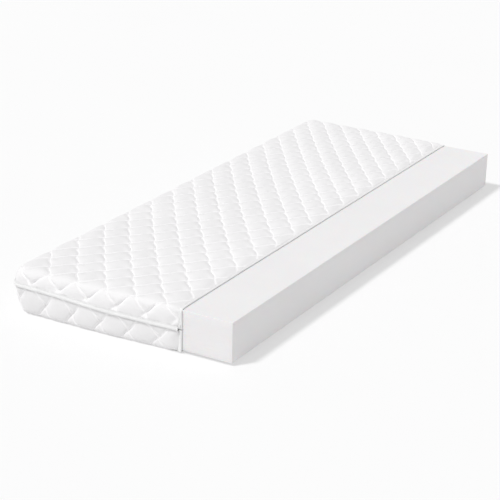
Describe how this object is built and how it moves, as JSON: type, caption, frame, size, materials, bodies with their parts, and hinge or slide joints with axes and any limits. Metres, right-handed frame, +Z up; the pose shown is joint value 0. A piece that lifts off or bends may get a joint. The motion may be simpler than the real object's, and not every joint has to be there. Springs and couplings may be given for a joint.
{
  "type": "memory foam mattress",
  "caption": "Single memory foam mattress: a foam block in a quilted, zipped cover that is open along one long side, where a binding edges it and the foam shows.",
  "frame": {"origin": "middle of the footprint, on the floor", "axes": "+X towards the open side where the foam shows, +Y along the length, +Z up"},
  "size_m": [0.8, 2, 0.15],
  "materials": {
    "ticking": "knitted, quilted in a waved diamond pattern",
    "wadding": "lofty polyester fibre",
    "backing": "thin non-woven",
    "binding": "woven tape with stitching",
    "flap": "knitted, folded and stitched",
    "zip_tape": "woven",
    "zip_coil": "nylon coil",
    "zip_stop": "moulded nylon",
    "zip_metal": "white enamel",
    "foam": "fine open-cell foam, cut face"
  },
  "bodies": {
    "lower_cover": {"base_ticking": "ticking", "base_wadding": "wadding", "base_backing": "backing", "border_ticking": "ticking", "border_wadding": "wadding", "border_backing": "backing", "lower_binding": "binding", "lower_zip_tape": "zip_tape", "lower_zip_coil": "zip_coil", "front_lower_stop": "zip_stop", "back_lower_stop": "zip_stop"},
    "upper_cover": {"top_ticking": "ticking", "top_wadding": "wadding", "side_wadding": "wadding", "top_backing": "backing", "upper_binding": "binding", "zip_flap": "flap", "front_end_tab": "flap", "back_end_tab": "flap", "upper_zip_tape": "zip_tape", "upper_zip_coil": "zip_coil", "front_upper_stop": "zip_stop", "back_upper_stop": "zip_stop"},
    "foam_core": {"foam_core": "foam"},
    "zip_slider": {"slider_body": "zip_metal"},
    "pull_tab": {"pull_tab": "zip_metal"}
  },
  "joints": [
    {"name": "upper_lift", "type": "slide", "parent": "lower_cover", "child": "upper_cover", "axis": [0, 0, 1], "range_m": [0, 0.2]},
    {"name": "core_slide", "type": "slide", "parent": "lower_cover", "child": "foam_core", "axis": [1, 0, 0], "range_m": [0, 0.65]},
    {"name": "slider_run", "type": "slide", "parent": "lower_cover", "child": "zip_slider", "axis": [1, 0, 0], "range_m": [-0.53, 0]},
    {"name": "pull_hinge", "type": "hinge", "parent": "zip_slider", "child": "pull_tab", "pos_m": [0.193, 0.9985, 0.073], "axis": [1, 0, 0], "range_deg": [0, 110]}
  ]
}
